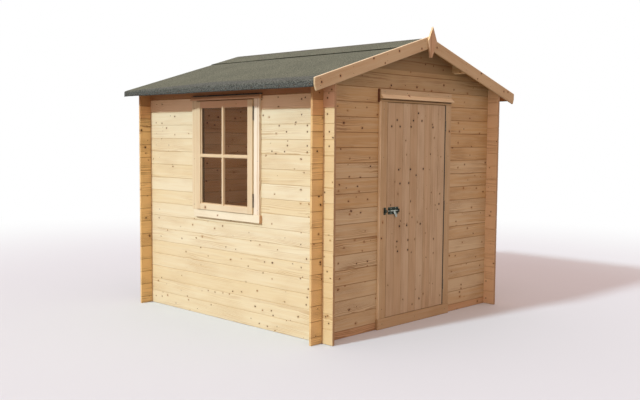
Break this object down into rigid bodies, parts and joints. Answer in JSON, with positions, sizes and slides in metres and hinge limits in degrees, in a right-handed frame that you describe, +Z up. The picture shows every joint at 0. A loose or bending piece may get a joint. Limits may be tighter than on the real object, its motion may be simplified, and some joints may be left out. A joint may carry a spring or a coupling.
{
  "type": "log cabin",
  "caption": "Small square cabin of interlocking planed logs with a low felted gable roof, a boarded door with a sliding bolt under the front gable and a window in one side wall.",
  "frame": {"origin": "on the ground at the middle of the overall plan", "axes": "+X to the right along the front wall, -Y out of the door, +Z up; the ridge runs along Y"},
  "size_m": [2.594, 2.412, 2.3808],
  "materials": {
    "log_pine": "planed, oiled, weathered pine with small knots",
    "planed_pine": "planed pine, unfinished",
    "trim_pine": "planed, oiled pine",
    "roofing_felt": "bitumen felt with grey-green mineral grains, matt",
    "galvanised_steel": "zinc plated",
    "glass": "clear, smooth"
  },
  "bodies": {
    "cabin": {"left_wall_lower_logs": "log_pine", "left_wall_rear_logs": "log_pine", "left_wall_front_logs": "log_pine", "left_wall_upper_logs": "log_pine", "right_wall_logs": "log_pine", "back_wall_logs": "log_pine", "back_gable_logs": "log_pine", "front_sill_log": "log_pine", "front_wall_left_logs": "log_pine", "front_wall_right_logs": "log_pine", "front_lintel_log": "log_pine", "front_gable_logs": "log_pine", "floor_bearers": "planed_pine", "floor_boards": "planed_pine", "ridge_purlin": "planed_pine", "slope_purlins": "planed_pine", "left_roof_boards": "planed_pine", "right_roof_boards": "planed_pine", "left_eaves_batten": "planed_pine", "right_eaves_batten": "planed_pine", "back_verge_battens": "planed_pine", "left_roof_felt": "roofing_felt", "right_roof_felt": "roofing_felt", "ridge_felt": "roofing_felt", "front_left_bargeboard": "trim_pine", "front_right_bargeboard": "trim_pine", "finial": "trim_pine", "door_left_post": "trim_pine", "door_right_post": "trim_pine", "door_head_board": "trim_pine", "door_drip_board": "trim_pine", "door_threshold": "trim_pine", "door_lining": "trim_pine", "door_hinge_post_leaves": "galvanised_steel", "bolt_keeper": "galvanised_steel", "window_hinges": "galvanised_steel", "window_lining": "trim_pine", "window_trim": "trim_pine", "window_head_trim": "trim_pine", "window_stiles": "trim_pine", "window_rails": "trim_pine", "window_bars": "trim_pine", "window_glass": "glass"},
    "door": {"door_leaf_boards": "trim_pine", "door_ledges": "trim_pine", "door_hinge_door_leaves": "galvanised_steel", "bolt_plate": "galvanised_steel"},
    "bolt": {"bolt_rod": "galvanised_steel"}
  },
  "joints": [
    {"name": "door_hinge", "type": "hinge", "parent": "cabin", "child": "door", "pos_m": [0.382, -1.105, 0.93], "axis": [0, 0, 1], "range_deg": [0, 100]},
    {"name": "bolt_slide", "type": "slide", "parent": "door", "child": "bolt", "axis": [-1, 0, 0], "range_m": [0, 0.036]}
  ]
}
